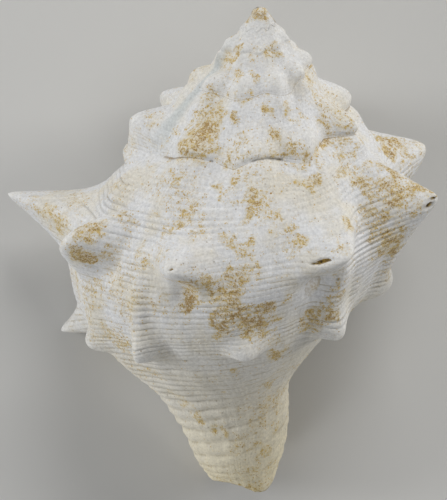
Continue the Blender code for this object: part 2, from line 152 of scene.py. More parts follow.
# The sutures wave: how far each one rises along the wall of the whorl above it
SUTURE_TURNS = [
    -3.42, -3.38, -3.34, -3.3, -3.26, -3.22, -3.17,
    -2.48, -2.45, -2.435, -2.42, -2.4, -2.375, -2.35, -2.325, -2.3, -2.275, -2.25, -2.225, -2.2, -2.175,
    -2.13,
    -1.53, -1.5, -1.47, -1.45, -1.43, -1.41, -1.39, -1.37, -1.35, -1.33, -1.31, -1.29, -1.27, -1.25, -1.23,
    -1.21, -1.19, -1.15, -1.12, -1.09, -1.06,
]
SUTURE_RISES = [
    0, -0.2, 0.2, -0.3, 0.1, 0.3, 0,
    0, 0.2, -0.3, -1.1, -1.2, -1, -0.5, 0, -0.3, -0.7, -0.9, -0.6, -0.2, 0, 0,
    0, 0.3, 0.6, 0.7, 0.4, 0, -0.9, -0.4, 0.3, 1, 1.3, 0.8, 0.1, 0.6, 1.2,
    1.5, 1.4, 0.9, 0.6, 0.3, 0,
]

# The whorls of the spire are worn to a plain cone
CONE_PROFILE = [(0.545, -0.8), (0.665, -0.945), (0.79, -1.105), (0.91, -1.28), (0.981, -1.44)]
CONE_TURNS = (-1.35, -1.02)
APEX_LIFT = 1.1
APEX_LIFT_RADIUS = 10
# How far the shift of a suture reaches into the whorl below it, in places
SUTURE_REACH = 1.8

# Spiral cords, counted from the suture: how many lie before each place, and how deep their grooves are
CORD_PLACES = [0, 3, 6, 8, 11]
CORD_COUNTS = [0, 16, 34, 43, 52]
GROOVE_PLACES = [0, 0.5, 2, 3, 4, 6, 7, 9, 11]
GROOVE_DEPTHS = [0, 0.08, 0.27, 0.17, 0.19, 0.22, 0.24, 0.32, 0.24]
CORD_ROUNDNESS = [0, 0, 0, 0.1, 0.2, 0.3, 0.6, 1, 1]
CORD_WANDER = 0.7
# Rows on one cord, as parts of its width
CORD_PARTS = [0, 0.17, 0.5, 0.83]
# How strong the cords are at each turn of the last whorl
WORN_TURNS = [-1, -0.56, -0.49, -0.41, -0.37, -0.31, -0.27, -0.21, -0.12, 0]
WORN_CORDS = [0.8, 0.9, 1.3, 1.5, 0.6, 0.28, 0.4, 1.1, 1.35, 1]

# Growth ribs across the cords, and the unevenness of the worn surface
RIBS_PER_TURN = 64
RIB_HEIGHT = 0.3
RIB_PLACES = [0, 1, 3, 4.5, 6, 8, 11]
RIB_STRENGTHS = [0.2, 0.5, 0.7, 1, 1, 0.7, 0.5]
LUMP_SIZE = 6
LUMP_HEIGHT = 0.22
GRAIN_SIZE = 1.3
GRAIN_HEIGHT = 0.035
NOISE_STEPS = 61

# Wall and lip
WALL_THICKNESS = 1.7
CANAL_THICKNESS = 1.1
LIP_ROUNDING = 0.35

# Mesh steps
COLUMNS_PER_TURN = 300
SPIRE_ROWS = 20
CAVITY_COLUMNS = 44
CAVITY_ROWS = 40
CORNER_CORDS = 3
APEX_RINGS = 3

# Pose: the coiling axis rises towards the apex, seen from straight above with the apex away
AXIS_RISE = 22.1
SIDE_LEAN = 0.6

# Camera of the photograph, in the shell's frame
CAMERA_ELEVATION = 24
CAMERA_DISTANCE = 450
CAMERA_TARGET = (0, 0, -40)
CAMERA_LENS = 216
SENSOR_WIDTH = 36
PICTURE = (447, 500)
PIXELS_PER_RADIAN = CAMERA_LENS / SENSOR_WIDTH * PICTURE[1]
APEX_PIXEL = (261, 7)

# How far from the tips of the spines the surface is worn white, in millimetres, and smooth, in places
SHOULDER_TIP_REACH = 3.2
LOWER_TIP_REACH = 4.5
SHOULDER_CALM = 1.1
LOWER_CALM = 0.7

# Ochre stains seen in the photograph, as (pixel x, pixel y, radius in pixels, strength in tenths); the
# strongest ones are brown. The two strong ones under the shoulder spine at turn -0.136 are stain and also
# painted shade of the hollow beneath that spine.
STAINS = {
    "spire": [
        (257, 14, 4, 11), (260, 27, 4, 5), (237, 53, 5, 8), (227, 61, 7, 8), (235, 76, 7, 5),
        (253, 76, 4, 11), (271, 52, 7, 6), (306, 74, 5, 8), (289, 31, 4, 3), (252, 57, 6, 3),
    ],
    "first suture": [
        (235, 94, 4, 10), (248, 98, 4, 8), (207, 95, 5, 8), (212, 103, 5, 8), (225, 98, 4, 6),
    ],
    "spire front": [
        (207, 115, 8, 11), (218, 114, 7, 9), (233, 117, 5, 11), (190, 123, 5, 9), (202, 134, 11, 13),
        (212, 124, 8, 10), (188, 145, 9, 10), (205, 148, 9, 11), (240, 142, 9, 3), (273, 112, 5, 8),
        (287, 114, 5, 7), (287, 103, 4, 5), (301, 117, 6, 5), (275, 140, 4, 9), (288, 148, 6, 12),
        (327, 127, 6, 11), (325, 141, 5, 11), (350, 125, 5, 10), (263, 156, 3, 11), (275, 157, 3, 12),
        (228, 163, 6, 11), (304, 157, 7, 8), (316, 150, 5, 6), (175, 135, 6, 4), (165, 143, 6, 6),
        (150, 125, 7, 4), (340, 148, 9, 6),
    ],
    "ramp": [
        (171, 174, 4, 6), (176, 186, 5, 9), (172, 203, 4, 5), (154, 214, 4, 5), (168, 230, 7, 5),
        (190, 210, 8, 8), (186, 222, 6, 7), (201, 217, 6, 7), (196, 234, 6, 4), (202, 204, 4, 6),
        (217, 188, 4, 7), (223, 195, 4, 11), (234, 181, 4, 7), (232, 203, 4, 7), (243, 197, 5, 6),
        (258, 197, 7, 9), (268, 186, 3, 7), (250, 215, 6, 7), (266, 209, 6, 5), (278, 212, 5, 7),
        (271, 226, 7, 4), (290, 227, 6, 5), (226, 240, 6, 6), (235, 246, 6, 7), (246, 250, 7, 7),
        (250, 268, 9, 4), (296, 240, 6, 7), (306, 240, 6, 7), (290, 253, 5, 4), (310, 187, 7, 7),
        (322, 162, 6, 5), (346, 172, 7, 6), (348, 224, 6, 7), (341, 246, 5, 5), (139, 250, 5, 5),
        (144, 262, 6, 6), (124, 218, 6, 7), (131, 225, 5, 7), (113, 214, 4, 5), (165, 222, 3, 5),
        (344, 246, 4, 3), (128, 165, 5, 2), (150, 165, 5, 2),
    ],
    "right side": [
        (350, 146, 8, 5), (350, 172, 7, 7), (360, 181, 6, 9), (361, 189, 6, 12), (367, 167, 6, 6),
        (382, 140, 8, 11), (389, 152, 8, 12), (400, 143, 9, 11), (404, 158, 6, 9), (388, 167, 9, 12),
        (396, 178, 8, 10), (380, 188, 9, 11), (396, 188, 9, 12), (404, 197, 8, 11), (384, 206, 8, 12),
        (413, 201, 5, 8), (372, 200, 8, 6), (372, 236, 6, 8), (391, 238, 8, 16), (400, 240, 6, 13),
        (396, 228, 5, 8), (380, 220, 7, 6), (388, 260, 8, 4), (410, 215, 6, 5), (362, 212, 6, 5),
        (396, 250, 8, 10), (386, 249, 8, 9), (408, 186, 7, 8),
    ],
    "left spines": [
        # (78, 253) and (89, 259) are stain and also painted shade of the hollow under the spine above them
        (90, 228, 8, 11), (83, 238, 6, 8), (78, 253, 7, 13), (89, 259, 8, 13), (105, 257, 7, 6),
        (60, 221, 9, 5), (48, 214, 9, 6), (30, 203, 7, 5), (76, 279, 8, 6), (78, 291, 8, 5),
        (104, 290, 9, 4), (117, 296, 8, 4), (128, 310, 7, 4), (100, 236, 5, 7),
    ],
    "wall": [
        (228, 288, 13, 12), (192, 287, 7, 13), (192, 298, 7, 24), (208, 284, 8, 8), (240, 276, 9, 8),
        (230, 303, 12, 12), (232, 318, 12, 13), (249, 325, 12, 13), (266, 324, 10, 12), (220, 330, 9, 10),
        (264, 308, 7, 13), (337, 281, 4, 15), (338, 298, 6, 10), (326, 314, 8, 12), (153, 303, 7, 5),
        (277, 354, 8, 9), (236, 370, 3, 9), (310, 322, 9, 9), (175, 310, 9, 4), (288, 300, 6, 4),
    ],
    "base": [
        (268, 386, 7, 5), (226, 392, 4, 5), (186, 404, 6, 5), (214, 426, 5, 6), (225, 434, 4, 10),
        (258, 424, 6, 5), (274, 427, 5, 5), (256, 445, 4, 9), (267, 450, 4, 6), (249, 471, 6, 7),
        (260, 466, 5, 5), (248, 484, 4, 6), (196, 416, 5, 5), (178, 396, 7, 4), (240, 410, 8, 3),
    ],
}
MM_PER_PIXEL = 0.15
# A stain is full up to 0.7 of its radius and has faded out at 1.9 of it
STAIN_PEAK = 1.55
STAIN_FALL = 0.8
# Size of the waves in the stains' edges and how far they shift them, in millimetres
STAIN_EDGE_SIZE = 1.5
STAIN_EDGE_SHIFT = 1.7
# Stains scattered on the sides that the photograph doesn't show
HIDDEN_STAINS = 90
HIDDEN_FACING = 0.05
HIDDEN_STAIN_RADII = (0.8, 2.4)
HIDDEN_STAIN_STRENGTHS = (0.3, 1.1)
STAIN_SEED = 11

# Worn holes and slits, as (pixel x and y of one end, of the other end, half width in pixels, depth in
# millimetres, darkness)
PITS = [
    (314, 264, 330, 260, 2.6, 0.9, 1),
    (427, 209, 435, 198, 2.2, 0.9, 1),
    (170, 270, 172, 270, 2.2, 0.8, 1),
    (335, 281, 338, 279, 2.4, 0.3, 0.9),
    (192, 296, 194, 298, 3, 0.2, 0.6),
    (265, 178, 268, 190, 0.9, 0.15, 0.4),
]
PIT_END_WIDTH = 0.45
PIT_DARKENING = 1.6

# Soft lamps as (name, direction, distance and size in metres, watts, colour), and a dim dome
LAMPS = [
    ("top", (0.2, 0.75, 0.64), 1.2, 0.5, 4.6, (1, 0.99, 0.97)),
    ("left", (-0.93, 0.16, 0.34), 1.2, 0.45, 5.2, (0.985, 0.99, 0.99)),
    ("right", (0.88, 0.34, 0.34), 1.2, 0.45, 4.8, (1, 0.985, 0.955)),
    ("bottom", (-0.62, -0.66, 0.42), 1.2, 0.5, 2.15, (0.97, 0.985, 1)),
]
LAMP_AIM = (0, 0, 0.02)
DOME_COLOUR = (0.97, 0.965, 0.95, 1)
DOME_STRENGTH = 0.23
# Half the width of the floor, in metres
FLOOR_HALF = 1.5


def shoulder_radius(turn):
    return LAST_SHOULDER_RADIUS * GROWTH_PER_TURN ** turn


def blend_along(values, places):
    """Catmull-Rom curve through evenly spaced values, read at places counted in values."""
    last = len(values) - 1
    padded = np.concatenate([2 * values[:1] - values[1:2], values, 2 * values[-1:] - values[-2:-1]])
    places = np.clip(np.atleast_1d(places), 0, last - 1e-9)
    low = places.astype(int)
    part = (places - low).reshape((-1,) + (1,) * (values.ndim - 1))
    before = padded[low]
    here = padded[low + 1]
    there = padded[low + 2]
    after = padded[low + 3]
    slope = there - before
    bend = 2 * before - 5 * here + 4 * there - after
    twist = 3 * here - before - 3 * there + after
    return 0.5 * (2 * here + slope * part + bend * part ** 2 + twist * part ** 3)


def profile_knots(turn):
    """Radius and height of the profile points at a turn; whorls of the spire end at the next suture."""
    radius = shoulder_radius(turn)
    worn = np.interp(turn, CONE_TURNS, [1, 0])
    ramp = (np.array(RAMP_PROFILE) * (1 - worn) + np.array(CONE_PROFILE) * worn) * radius
    ramp[:, 1] += APEX_LIFT * max(0, 1 - radius / APEX_LIFT_RADIUS)
    rise = np.interp(turn, SUTURE_TURNS, SUTURE_RISES)
    ramp[4] += rise * (ramp[3] - ramp[4]) / np.linalg.norm(ramp[3] - ramp[4])
    first = LOWER_PROFILES[-1][0]
    if turn < first - 1e-6:
        return np.concatenate([ramp, np.array([BURIED_POINT]) * radius])
    profiles = np.array([points for _, points in reversed(LOWER_PROFILES)], dtype=float)
    knots = np.concatenate([ramp, blend_along(profiles, (turn - first) / 0.25)[0]])
    knots[-1, 1] += np.interp(turn, END_TURNS, END_SHIFTS)
    return knots


def in_space(turn, pairs):
    """Radial and axial pairs turned into vectors."""
    azimuth = np.radians(LIP_AZIMUTH + 360 * turn)
    outwards = np.array([-np.sin(azimuth), -np.cos(azimuth), 0])
    return pairs[:, :1] * outwards + pairs[:, 1:] * np.array([0, 0, 1])


def plain_column(turn, places):
    """Points of the smooth whorl, without spines or ribs."""
    return in_space(turn, blend_along(profile_knots(turn), places))


def normal_column(turn, places):
    """Outward normals of the smooth whorl in its axial plane."""
    knots = profile_knots(turn)
    end = len(knots) - 1
    after = blend_along(knots, np.minimum(places + 0.1, end))
    step = after - blend_along(knots, np.maximum(places - 0.1, 0))
    across = np.stack([-step[:, 1], step[:, 0]], axis=1)
    return in_space(turn, across / np.linalg.norm(across, axis=1, keepdims=True))


def hump(distance):
    """Smooth hump of height 1 that ends at a distance of 1."""
    return np.maximum(1 - distance * distance, 0) ** 2


def smooth(share):
    """Eases a share from 0 to 1."""
    return share * share * (3 - 2 * share)


def spine_shape(distance, sharpness):
    """Height of a spine from 1 at its tip to 0 at a distance of 1, rounded or concave."""
    softened = np.sqrt(distance ** 2 + TIP_ROUNDING ** 2) - TIP_ROUNDING
    return np.maximum(1 - softened, 0) ** 2 * (1 + 2 * (1 - sharpness) * softened)


def spine_column(turn, places, spines, row):
    """Push of a row of spines on one column."""
    push = np.zeros((len(places), 3))
    for spine_turn, tip_radius, tip_height, half_width, sharpness, above, below, slant in spines:
        sideways = (turn - spine_turn) * 360 / half_width
        if abs(sideways) > 1.05:
            continue
        offset = places - row - slant * sideways
        distance = np.sqrt(sideways ** 2 + (offset / np.where(offset < 0, above, below)) ** 2)
        tip = in_space(spine_turn, np.array([[tip_radius, tip_height]]))
        base = plain_column(spine_turn, np.array([row]))
        push += spine_shape(distance, sharpness)[:, None] * (tip - base)
    return push


def all_shoulder_spines():
    spines = list(SHOULDER_SPINES)
    turn = NODULE_FIRST_TURN
    while turn > FIRST_TURN:
        radius = shoulder_radius(turn)
        front = np.cos(np.radians(LIP_AZIMUTH + 360 * turn)) ** 2
        reach = NODULE_TIP[0] - NODULE_FRONT_WEAR * front
        spines.append((turn, reach * radius, NODULE_TIP[1] * radius) + NODULE_SHAPE)
        turn -= NODULE_SPACING
    return spines


def rib_column(turn, places):
    """Height of the axial ribs between the two rows of spines, less the hollows under the upper row."""
    height = np.zeros(len(places))
    for rib_turn, rib, half_width in AXIAL_RIBS:
        height += rib * hump((places - RIB_MIDDLE) / RIB_REACH) * hump((turn - rib_turn) * 360 / half_width)
    for hollow_turn, place, depth, half_width, reach in HOLLOWS:
        height -= depth * hump((places - place) / reach) * hump((turn - hollow_turn) * 360 / half_width)
    return height


def band_share(azimuth, depth):
    """1 on the band and 0 away from it."""
    sideways = azimuth - np.interp(depth, BAND_DEPTHS, BAND_CRESTS)
    rising = 1 + sideways / np.interp(depth, BAND_DEPTHS, BAND_SLOPES)
    falling = 1 - (sideways - np.interp(depth, BAND_DEPTHS, BAND_BACKS)) / BAND_END
    return np.minimum(np.clip(rising, 0, 1), smooth(np.clip(falling, 0, 1)))


def band_column(turn, places):
    """Outward push of the band on one column, and the ridge that it becomes on the last whorl."""
    pairs = blend_along(profile_knots(turn), places)
    azimuth = (LIP_AZIMUTH + 360 * turn + 180) % 360 - 180
    depths = -pairs[:, 1]
    climb = CLIMB_HEIGHT * hump((depths - CLIMB_DEPTH) / CLIMB_REACH)
    climb *= np.interp(azimuth, CLIMB_AZIMUTHS, [0, 1])
    reach = np.interp(depths, BAND_DEPTHS, BAND_RADII) + climb - pairs[:, 0]
    push = np.maximum(reach, 0) * band_share(azimuth, depths)
    if turn > -1 - 1e-6:
        sideways = azimuth - np.interp(places, RIDGE_TURNING, RIDGE_AZIMUTHS)
        ridge = RIDGE_HEIGHT * hump(sideways / np.where(sideways < 0, RIDGE_WIDTHS[0], RIDGE_WIDTHS[1]))
        push = np.where(places < SHOULDER, push, 0) + ridge * hump((places - RIDGE_PLACE) / RIDGE_REACH)
    return push[:, None] * in_space(turn, np.array([[1, 0]]))


def value_noise(across, along, seed):
    """Smooth noise from -1 to 1 between random values one step apart."""
    table = np.random.default_rng(seed).uniform(-1, 1, (NOISE_STEPS, NOISE_STEPS))
    low_a = np.floor(across)
    low_b = np.floor(along)
    part_a = smooth(across - low_a)
    part_b = smooth(along - low_b)
    a = low_a.astype(int) % NOISE_STEPS
    b = low_b.astype(int) % NOISE_STEPS
    next_a = (a + 1) % NOISE_STEPS
    next_b = (b + 1) % NOISE_STEPS
    first = table[a, b] * (1 - part_b) + table[a, next_b] * part_b
    second = table[next_a, b] * (1 - part_b) + table[next_a, next_b] * part_b
    return first * (1 - part_a) + second * part_a


def places_of(cords):
    return np.interp(cords, CORD_COUNTS, CORD_PLACES)


def cords_of(places):
    return np.interp(places, CORD_PLACES, CORD_COUNTS)


def groove_column(turn, cords):
    """Depth of the grooves between the spiral cords on one column, shallower where the shell is worn."""
    places = places_of(cords)
    part = np.abs(2 * (cords - np.floor(cords)) - 1)
    roundness = np.interp(places, GROOVE_PLACES, CORD_ROUNDNESS)
    shape = (1 - roundness) * part ** 6 + roundness * part ** 2
    groove = np.round(cords)
    own = 0.85 + 0.55 * value_noise(groove * 7.7, groove * 3.1, 2)
    along = 1 + 0.65 * value_noise(turn * 19, groove * 0.61, 3)
    patch = 1 + 0.45 * value_noise(turn * 8, cords * 0.12, 4)
    wear = np.interp(turn, WORN_TURNS, WORN_CORDS) * own * along * patch
    return np.interp(places, GROOVE_PLACES, GROOVE_DEPTHS) * wear * shape


def wander_column(turn, cords):
    """How far the cords stray from their places, in cords."""
    slow = value_noise(turn * 9, cords * 0.21, 5)
    quick = value_noise(turn * 31, cords * 0.33, 6)
    own = value_noise(turn * 13, cords * 0.8, 9)
    calm = hump(np.maximum(1 - cords / 2, 0))
    return CORD_WANDER * (slow + 0.5 * quick + 0.7 * own) * (1 - calm)


def growth_column(turn, places):
    """Height of the growth ribs on one column."""
    ribs = value_noise(turn * RIBS_PER_TURN, places * 0.35, 7)
    broad = value_noise(turn * RIBS_PER_TURN * 0.37, places * 0.3, 8)
    return RIB_HEIGHT * np.interp(places, RIB_PLACES, RIB_STRENGTHS) * 0.6 * (ribs + broad)


def tip_calm(turn, places, spines, row, reach):
    """1 at the tips of a row of spines and 0 away from them, where the surface is worn smooth."""
    calm = np.zeros(len(places))
    for spine in spines:
        sideways = (turn - spine[0]) * 360 / spine[3]
        if abs(sideways) < 1:
            calm = np.maximum(calm, hump(np.sqrt(sideways ** 2 + ((places - row) / reach) ** 2)))
    return calm


def relief_column(turn, cords, spines, fine):
    """Points of the finished outside on one column; a suture follows the nodules of the whorl above it."""
    places = places_of(cords)
    if fine:
        places = places_of(np.clip(cords + wander_column(turn, cords), 0, CORD_COUNTS[-1]))
    height = rib_column(turn, places)
    if fine:
        calm = tip_calm(turn, places, spines, SHOULDER, SHOULDER_CALM)
        calm = np.maximum(calm, tip_calm(turn, places, LOWER_SPINES, LOWER_ROW, LOWER_CALM))
        height += (growth_column(turn, places) - groove_column(turn, cords)) * (1 - calm)
    points = plain_column(turn, places) + height[:, None] * normal_column(turn, places)
    points += spine_column(turn, places, spines, SHOULDER) + band_column(turn, places)
    if turn > -1:
        points += spine_column(turn, places, LOWER_SPINES, LOWER_ROW)
    if turn - 1 > FIRST_TURN - 1e-6:
        suture = np.array([NEXT_SUTURE])
        pushed = plain_column(turn - 1, suture) + spine_column(turn - 1, suture, spines, SHOULDER)
        shift = pushed - plain_column(turn, np.array([0]))
        points += hump(places / SUTURE_REACH)[:, None] * shift
    return points


def column_turns():
    """Turns of the columns of the last whorl, with a column at each shoulder spine."""
    index = [0]
    turn = [-1]
    for spine in sorted(SHOULDER_SPINES):
        if spine[0] > -1:
            index.append(int(round((spine[0] + 1) * COLUMNS_PER_TURN)))
            turn.append(spine[0])
    index.append(COLUMNS_PER_TURN)
    turn.append(0)
    return np.interp(np.arange(COLUMNS_PER_TURN + 1), index, turn)


def row_cords():
    """Rows of the last whorl, counted in cords: each groove and three rows on each cord."""
    rows = [number + part for number in range(int(CORD_COUNTS[-1])) for part in CORD_PARTS]
    rows.append(CORD_COUNTS[-1])
    return np.array(rows)


class Surface:
    """Vertices in millimetres and faces whose corners are (vertex, turn, cords)."""

    def __init__(self):
        self.points = []
        self.faces = []

    def add(self, point):
        self.points.append(np.array(point, dtype=float))
        return len(self.points) - 1

    def chain(self, points, turn, cords):
        return [(self.add(point), turn, cord) for point, cord in zip(points, cords)]

    def face(self, corners):
        ring = [corner for number, corner in enumerate(corners) if corner[0] != corners[number - 1][0]]
        if len(ring) > 2:
            self.faces.append(ring)

    def grid(self, columns):
        """Quads between neighbouring columns."""
        for left, right in zip(columns[:-1], columns[1:]):
            for low in range(len(left) - 1):
                self.face([left[low], left[low + 1], right[low + 1], right[low]])

    def gap(self, first, second):
        return np.linalg.norm(self.points[first[0]] - self.points[second[0]])

    def join(self, first, second):
        """Strip of triangles between two chains, by the shorter step each time."""
        here = 0
        there = 0
        while here < len(first) - 1 or there < len(second) - 1:
            ahead = here < len(first) - 1
            if ahead and there < len(second) - 1:
                ahead = self.gap(first[here + 1], second[there]) <= self.gap(first[here], second[there + 1])
            if ahead:
                self.face([first[here], first[here + 1], second[there]])
                here += 1
            else:
                self.face([first[here], second[there + 1], second[there]])
                there += 1


def add_outside(surface, spines):
    """Spire and last whorl; each whorl starts on the lower edge of the one before."""
    turns = column_turns()
    spire_cords = cords_of(np.linspace(0, NEXT_SUTURE, SPIRE_ROWS))
    spire = []
    for whorl in range(int(FIRST_TURN) + 1, 0):
        for turn in turns[:-1] + whorl:
            points = relief_column(turn, spire_cords, spines, False)
            if len(spire) < COLUMNS_PER_TURN:
                spire.append(surface.chain(points, turn, spire_cords))
            else:
                edge = spire[len(spire) - COLUMNS_PER_TURN][-1]
                spire.append([(edge[0], turn, 0)] + surface.chain(points[1:], turn, spire_cords[1:]))
    cords = row_cords()
    suture_row = int(np.argmin(np.abs(cords - cords_of(NEXT_SUTURE))))
    last = []
    for number, turn in enumerate(turns):
        points = relief_column(turn, cords, spines, True)
        if number < COLUMNS_PER_TURN:
            edge = spire[number - COLUMNS_PER_TURN][-1]
        else:
            edge = last[0][suture_row]
        last.append([(edge[0], turn, 0)] + surface.chain(points[1:], turn, cords[1:]))
    surface.grid(spire)
    surface.join(spire[-1], last[0][:suture_row + 1])
    surface.grid(last)
    return spire, last, suture_row


def add_apex(surface, spire):
    """Rounded tip over the upper edge of the first whorl and the step where it starts."""
    ring = [column[0] for column in spire[:COLUMNS_PER_TURN]]
    ring += spire[0][:0:-1]
    ring.append(ring[0])
    base = np.array([surface.points[corner[0]] for corner in ring])
    for number in range(1, APEX_RINGS + 1):
        angle = np.pi / 2 * number / (APEX_RINGS + 1)
        scale = np.array([np.cos(angle), np.cos(angle), 1 - np.sin(angle)])
        smaller = surface.chain(base[:-1] * scale, FIRST_TURN, np.zeros(len(base) - 1))
        smaller.append(smaller[0])
        surface.grid([ring, smaller])
        ring = smaller
    tip = (surface.add([0, 0, 0]), FIRST_TURN, 0)
    for left, right in zip(ring[:-1], ring[1:]):
        surface.face([left, right, tip])


def inner_column(turn, places):
    """Points of the inside of the outer wall, which takes at most half the room beside the older whorl."""
    outside = plain_column(turn, places)
    thickness = WALL_THICKNESS + (CANAL_THICKNESS - WALL_THICKNESS) * places / PROFILE_END
    room = np.linalg.norm(outside - plain_column(turn - 1, places), axis=1)
    thickness = np.minimum(thickness, 0.5 * room)
    return outside - thickness[:, None] * normal_column(turn, places)


def add_lip(surface, last, inside):
    """Outer lip, rounded between the outside and the inside of the wall."""
    azimuth = np.radians(LIP_AZIMUTH)
    growth = np.array([-np.cos(azimuth), np.sin(azimuth), 0])
    outer = last[-1]
    inner_points = np.array([surface.points[vertex[0]] for vertex in inside])
    rim = [outer[0]]
    for vertex in outer[1:]:
        point = surface.points[vertex[0]]
        near = inner_points[np.argmin(np.linalg.norm(inner_points - point, axis=1))]
        wall = np.linalg.norm(near - point)
        middle = 0.5 * (point + near) + growth * LIP_ROUNDING * min(1, wall / WALL_THICKNESS)
        rim.append((surface.add(middle), 0, vertex[2]))
    surface.grid([outer, rim])
    surface.join(rim, inside)


def add_cavity(surface, last, suture_row):
    """Hollow behind the lip, between the older whorl and the outer wall, closed at its depth."""
    turns = column_turns()
    start = int(round((1 - CAVITY_TURNS) * COLUMNS_PER_TURN))
    corner = suture_row + CORNER_CORDS * len(CORD_PARTS)
    first_place = places_of(last[0][corner][2])
    older_places = np.linspace(first_place, PROFILE_END, CAVITY_ROWS)
    inner_places = np.linspace(0.6, PROFILE_END, CAVITY_ROWS)
    older_wall = []
    outer_wall = []
    for turn in np.linspace(turns[start], 0, CAVITY_COLUMNS + 1):
        if turn < 0:
            older_points = plain_column(turn - 1, older_places)
            older_wall.append(surface.chain(older_points, turn, cords_of(older_places)))
        else:
            older_wall.append(last[0][corner:])
        inner_points = inner_column(turn, inner_places)
        outer_wall.append([older_wall[-1][0]] + surface.chain(inner_points, turn, cords_of(inner_places)))
    surface.grid(older_wall[:-1])
    surface.join(older_wall[-2], older_wall[-1])
    surface.grid(outer_wall)
    surface.join(outer_wall[0], older_wall[0])
    add_lip(surface, last, last[0][suture_row:corner] + outer_wall[-1])
    return start, older_wall, outer_wall


def close_end(surface, last, start, older_wall, outer_wall):
    """Edge of the canal and the flat end of the column inside it."""
    surface.join([column[-1] for column in last[start:]], [column[-1] for column in outer_wall])
    ring = [column[-1] for column in last[:start + 1]]
    ring.append(outer_wall[0][-1])
    ring += [column[-1] for column in older_wall[:-1]]
    middle = np.mean([surface.points[corner[0]] for corner in ring], axis=0)
    centre = (surface.add(middle), 0, CORD_COUNTS[-1])
    for number, corner in enumerate(ring):
        surface.face([ring[number - 1], corner, centre])


def rest_matrix():
    """Turns the shell's frame so that its back is up, its apex points along +Y and it leans on its spines."""
    rise = np.radians(AXIS_RISE)
    lean = np.radians(SIDE_LEAN)
    right = np.array([1, 0, 0])
    away = np.array([0, np.sin(rise), np.cos(rise)])
    up = np.array([0, -np.cos(rise), np.sin(rise)])
    right, up = right * np.cos(lean) + up * np.sin(lean), up * np.cos(lean) - right * np.sin(lean)
    return np.array([right, away, up])


def apex_place():
    """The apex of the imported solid, which is its point furthest along +Y, in metres."""
    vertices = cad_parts["shell"].data.vertices
    return np.array(max((vertex.co for vertex in vertices), key=lambda place: place.y))


APEX_PLACE = apex_place()
REST = rest_matrix()


def in_world(points):
    """Points of the shell's frame in millimetres, turned into the row frame in metres."""
    return np.atleast_2d(points) @ REST.T * METRES_PER_MM + APEX_PLACE


def vertex_values(mesh, name):
    """Places or normals of the mesh's vertices."""
    values = np.empty(len(mesh.vertices) * 3)
    mesh.vertices.foreach_get(name, values)
    return values.reshape(-1, 3)


def move_vertices(mesh, places):
    mesh.vertices.foreach_set("co", places.reshape(-1))
    mesh.update()


def paint(mesh, name, values):
    """Keeps one value for each vertex, which the material reads by name."""
    layer = mesh.attributes.new(name, "FLOAT", "POINT")
    layer.data.foreach_set("value", values.astype(np.float32))


def paint_band(mesh, points):
    """Where the smooth band is, and its front slope, which gets a painted grey shade."""
    azimuths = np.degrees(np.arctan2(-points[:, 0], -points[:, 1]))
    depths = -points[:, 2]
    paint(mesh, "band", band_share(azimuths, depths) * (depths < BAND_DEPTHS[-1]))
    crest = np.interp(depths, BAND_DEPTHS, BAND_CRESTS)
    width = np.interp(depths, BAND_DEPTHS, BAND_SLOPES)
    slope = hump(np.clip((azimuths - crest + 0.4 * width) / (0.9 * width), -1, 1))
    paint(mesh, "slope", slope * np.interp(depths, SLOPE_SHADE_DEPTHS, SLOPE_SHADE_SHARES))


def shell_mesh():
    """Mesh of the shell in the row frame, with turn and cord kept as a UV map."""
    spines = all_shoulder_spines()
    surface = Surface()
    spire, last, suture_row = add_outside(surface, spines)
    add_apex(surface, spire)
    outside_count = len(surface.points)
    start, older_wall, outer_wall = add_cavity(surface, last, suture_row)
    close_end(surface, last, start, older_wall, outer_wall)
    points = np.array(surface.points)
    mesh = bpy.data.meshes.new("fossil_shell")
    faces = [[corner[0] for corner in face] for face in surface.faces]
    mesh.from_pydata(in_world(points).tolist(), [], faces)
    growth = mesh.uv_layers.new(name="growth")
    values = [value for face in surface.faces for corner in face for value in corner[1:]]
    growth.data.foreach_set("uv", values)
    solid = bmesh.new()
    solid.from_mesh(mesh)
    bmesh.ops.recalc_face_normals(solid, faces=solid.faces[:])
    solid.to_mesh(mesh)
    solid.free()
    for polygon in mesh.polygons:
        polygon.use_smooth = True
    paint_band(mesh, points)
    return mesh, outside_count


def tip_values(places):
    """1 at the tips of the spines and 0 away from them, where the shell is worn smooth and white."""
    values = np.zeros(len(places))
    for spines, reach in ((all_shoulder_spines(), SHOULDER_TIP_REACH), (LOWER_SPINES, LOWER_TIP_REACH)):
        for turn, radius, height, *_ in spines:
            tip = in_world(in_space(turn, np.array([[radius, height]])))[0]
            distance = np.linalg.norm(places - tip, axis=1) / (reach * METRES_PER_MM)
            values = np.maximum(values, hump(np.minimum(distance, 1)))
    return values


def uneven(mesh):
    """Low lumps and fine grain over the whole surface, so that it looks worn and not turned."""
    places = vertex_values(mesh, "co")
    normals = vertex_values(mesh, "normal")
    for number, place in enumerate(places):
        spot = Vector(place) / METRES_PER_MM
        lump = LUMP_HEIGHT * noise.noise(spot / LUMP_SIZE)
        grain = GRAIN_HEIGHT * noise.noise(spot / GRAIN_SIZE)
        place += normals[number] * (lump + grain) * METRES_PER_MM
    places[:, 2] = np.maximum(places[:, 2], 0)
    move_vertices(mesh, places)


def camera_frame():
    """Place of the camera in metres and its axes to the right, up and back, in the row frame."""
    tilt = np.radians(CAMERA_ELEVATION)
    right = np.array([1, 0, 0])
    up = np.array([0, np.sin(tilt), np.cos(tilt)])
    back = np.array([0, -np.cos(tilt), np.sin(tilt)])
    target = np.array(CAMERA_TARGET)
    near = CAMERA_DISTANCE + target @ back
    aside = (PICTURE[0] / 2 - APEX_PIXEL[0]) / PIXELS_PER_RADIAN * near - target @ right
    above = (APEX_PIXEL[1] - PICTURE[1] / 2) / PIXELS_PER_RADIAN * near - target @ up
    place = target + CAMERA_DISTANCE * back + aside * right + above * up
    return in_world(place)[0], REST @ right, REST @ up, REST @ back


def add_object(name, data):
    thing = bpy.data.objects.new(name, data)
    bpy.context.scene.collection.objects.link(thing)
    return thing


